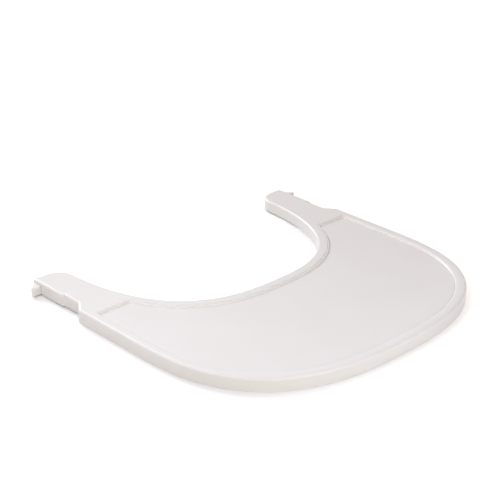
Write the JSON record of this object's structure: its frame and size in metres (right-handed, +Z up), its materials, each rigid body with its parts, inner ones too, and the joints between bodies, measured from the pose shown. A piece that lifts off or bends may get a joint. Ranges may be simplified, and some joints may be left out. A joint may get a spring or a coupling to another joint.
{
  "type": "click-on high chair tray",
  "caption": "Moulded tray with a belly cut-out and rearward arms, each with a sprung latch that clicks behind a high chair's upright.",
  "frame": {"origin": "middle of the tray's outline, at the foot of its skirt, on the symmetry plane", "axes": "+Z up out of the deck, -Y towards the front edge, +Y towards the arm tips, +X across"},
  "size_m": [0.4472, 0.414, 0.017],
  "materials": {
    "tray_plastic": "white moulded polypropylene, fine satin texture",
    "latch_plastic": "white moulded acetal, smooth satin",
    "cover_plastic": "white moulded polypropylene, fine satin texture",
    "spring_steel": "bright spring wire",
    "screw_steel": "zinc-plated, satin"
  },
  "bodies": {
    "tray": {"tray_body": "tray_plastic", "right_arm_cover": "cover_plastic", "right_latch_spring": "spring_steel", "right_pivot_washer": "screw_steel", "right_pivot_screw": "screw_steel", "right_cover_screw_1": "screw_steel", "right_cover_screw_2": "screw_steel", "right_cover_screw_3": "screw_steel", "left_arm_cover": "cover_plastic", "left_latch_spring": "spring_steel", "left_pivot_washer": "screw_steel", "left_pivot_screw": "screw_steel", "left_cover_screw_1": "screw_steel", "left_cover_screw_2": "screw_steel", "left_cover_screw_3": "screw_steel"},
    "right_latch": {"right_latch_lever": "latch_plastic"},
    "left_latch": {"left_latch_lever": "latch_plastic"}
  },
  "joints": [
    {"name": "right_latch_release", "type": "hinge", "parent": "tray", "child": "right_latch", "pos_m": [0.199, 0.131, 0.0089], "axis": [0, 0, 1], "range_deg": [0, 12], "stiffness_Nm_per_rad": 1.7, "springref_deg": -5.73, "deforming": ["right_latch_spring"]},
    {"name": "left_latch_release", "type": "hinge", "parent": "tray", "child": "left_latch", "pos_m": [-0.199, 0.131, 0.0089], "axis": [0, 0, -1], "range_deg": [0, 12], "stiffness_Nm_per_rad": 1.7, "springref_deg": -5.73, "deforming": ["left_latch_spring"]}
  ]
}
